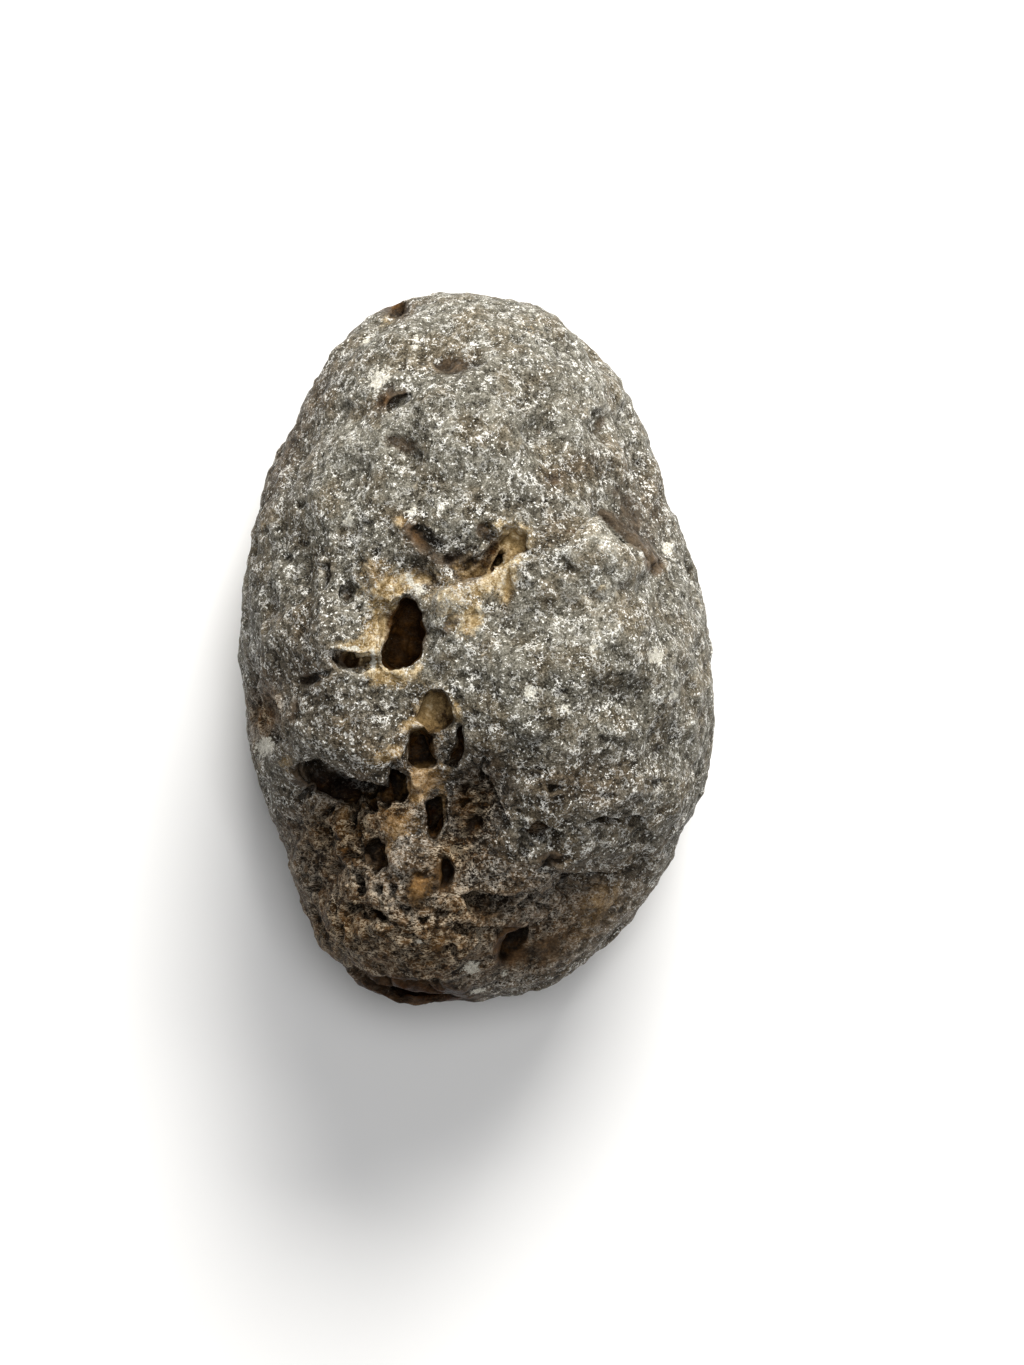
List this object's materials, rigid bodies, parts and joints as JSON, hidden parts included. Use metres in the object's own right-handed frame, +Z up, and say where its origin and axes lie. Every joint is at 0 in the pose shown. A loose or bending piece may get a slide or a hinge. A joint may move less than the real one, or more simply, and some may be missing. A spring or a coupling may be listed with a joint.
{
  "type": "tektite",
  "caption": "Egg-shaped lump of dark natural glass with an etched, pitted skin and deep hollows, lying on its flatter side.",
  "frame": {"origin": "on the surface that the stone lies on, below the middle of its bounding box", "axes": "+Y towards the narrow end, +Z up through the pitted face, +X to the right when looking down with the narrow end away"},
  "size_m": [0.0266, 0.04, 0.0228],
  "materials": {
    "etched_glass": "matte"
  },
  "bodies": {
    "root": {"tektite": "etched_glass"}
  },
  "joints": []
}
